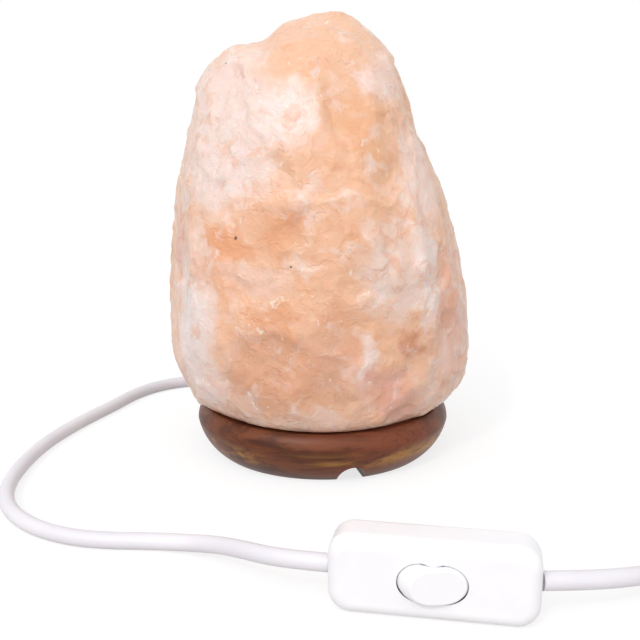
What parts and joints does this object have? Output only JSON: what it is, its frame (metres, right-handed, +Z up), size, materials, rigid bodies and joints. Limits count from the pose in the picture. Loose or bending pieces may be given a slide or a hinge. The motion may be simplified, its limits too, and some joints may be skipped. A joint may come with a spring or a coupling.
{
  "type": "salt crystal lamp",
  "caption": "Table lamp: a bored rock of pink salt on a turned wooden base, with a small screw-cap bulb inside and a white mains lead with an in-line rocker switch and a flat plug.",
  "frame": {"origin": "centre of the wooden base's flat underside, on the table", "axes": "+Z up through the crystal, -Y to the front, +X to the right seen from the front"},
  "size_m": [0.3544, 0.3114, 0.184],
  "materials": {
    "salt": "rough, translucent rock salt, pink to orange with white veins",
    "stained_wood": "satin lacquer over brown stain, fine straight grain",
    "zinc_steel": "zinc plated",
    "spring_steel": "plain spring steel",
    "grey_nylon": "matte",
    "holder_plastic": "matte, moulded",
    "brass": "plain",
    "nickel": "nickel plated",
    "clear_glass": "clear",
    "black_glass": "gloss",
    "tungsten": "plain",
    "lead_sheath": "smooth white PVC, satin",
    "core_insulation": "smooth",
    "switch_plastic": "white, satin moulded",
    "plug_plastic": "white, moulded",
    "sleeve_black": "smooth",
    "tie_white": "smooth"
  },
  "bodies": {
    "lamp": {"salt_crystal": "salt", "wooden_base": "stained_wood", "base_screws": "zinc_steel", "screw_washers": "zinc_steel", "wall_plugs": "grey_nylon", "holder_cap": "holder_plastic", "holder_body": "holder_plastic", "threaded_shell": "brass", "centre_contact": "brass", "holder_terminals": "brass", "holder_terminal_screws": "zinc_steel", "cord_grip": "holder_plastic", "grip_screws": "zinc_steel", "spring_clips": "spring_steel", "clip_rivets": "zinc_steel", "holder_cores": "core_insulation", "bulb_glass": "clear_glass", "bulb_cap": "nickel", "bulb_insulator": "black_glass", "bulb_contact": "zinc_steel", "bulb_stem": "clear_glass", "bulb_leads": "zinc_steel", "bulb_filament": "tungsten", "lead_in_groove": "lead_sheath", "lead_to_switch": "lead_sheath", "lead_to_coil": "lead_sheath", "lead_coil": "lead_sheath", "lead_to_plug": "lead_sheath", "coil_tie": "tie_white", "switch_front_shell": "switch_plastic", "switch_rear_shell": "switch_plastic", "rocker_pin": "zinc_steel", "line_terminal": "brass", "load_terminal": "brass", "neutral_bar": "brass", "switch_terminal_screws": "zinc_steel", "cord_clamps": "holder_plastic", "clamp_screws": "zinc_steel", "housing_screws": "zinc_steel", "switch_lead_ends": "lead_sheath", "switch_cores": "core_insulation", "plug_body": "plug_plastic", "plug_strain_relief": "plug_plastic", "plug_pins": "nickel", "pin_sleeves": "sleeve_black"},
    "rocker_lever": {"rocker": "switch_plastic", "plunger": "grey_nylon", "plunger_spring": "spring_steel"},
    "seesaw": {"seesaw_contact": "brass"}
  },
  "joints": [
    {"name": "rocker_tilt", "type": "hinge", "parent": "lamp", "child": "rocker_lever", "pos_m": [0.03186, -0.1491, 0.0125], "axis": [0, 0, 1], "range_deg": [-29, 0]},
    {"name": "seesaw_tilt", "type": "hinge", "parent": "lamp", "child": "seesaw", "pos_m": [0.0331, -0.14221, 0.0125], "axis": [0, 0, 1], "range_deg": [0, 14]}
  ],
  "couplings": [
    {"joint": "seesaw_tilt", "follows": "rocker_tilt", "ratio": -0.48276}
  ]
}
